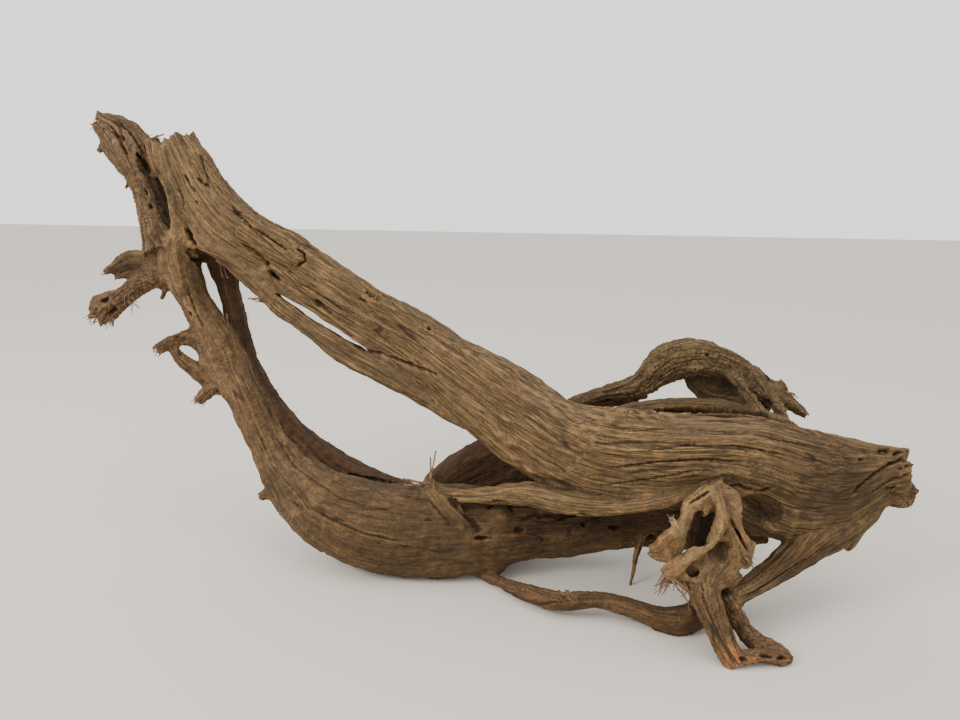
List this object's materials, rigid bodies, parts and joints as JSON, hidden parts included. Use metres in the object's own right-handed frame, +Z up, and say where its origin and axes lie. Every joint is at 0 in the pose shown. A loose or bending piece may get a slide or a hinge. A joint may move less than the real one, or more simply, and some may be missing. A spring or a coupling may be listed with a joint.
{
  "type": "mangrove root",
  "caption": "Weathered root of a mangrove: a flat grained trunk with a rising plank, bowed legs, an arch, broken stubs and a webbed front leg. It stands on its own low points.",
  "frame": {"origin": "middle of the root's bounding box, on the floor it stands on", "axes": "+X along the root's length towards the ragged trunk end, -Y out of its broad grained face, +Z up"},
  "size_m": [0.9919, 0.3629, 0.545],
  "materials": {
    "root_wood": "dry, weathered, rough with open grain"
  },
  "bodies": {
    "root": {"mangrove_root": "root_wood"}
  },
  "joints": []
}
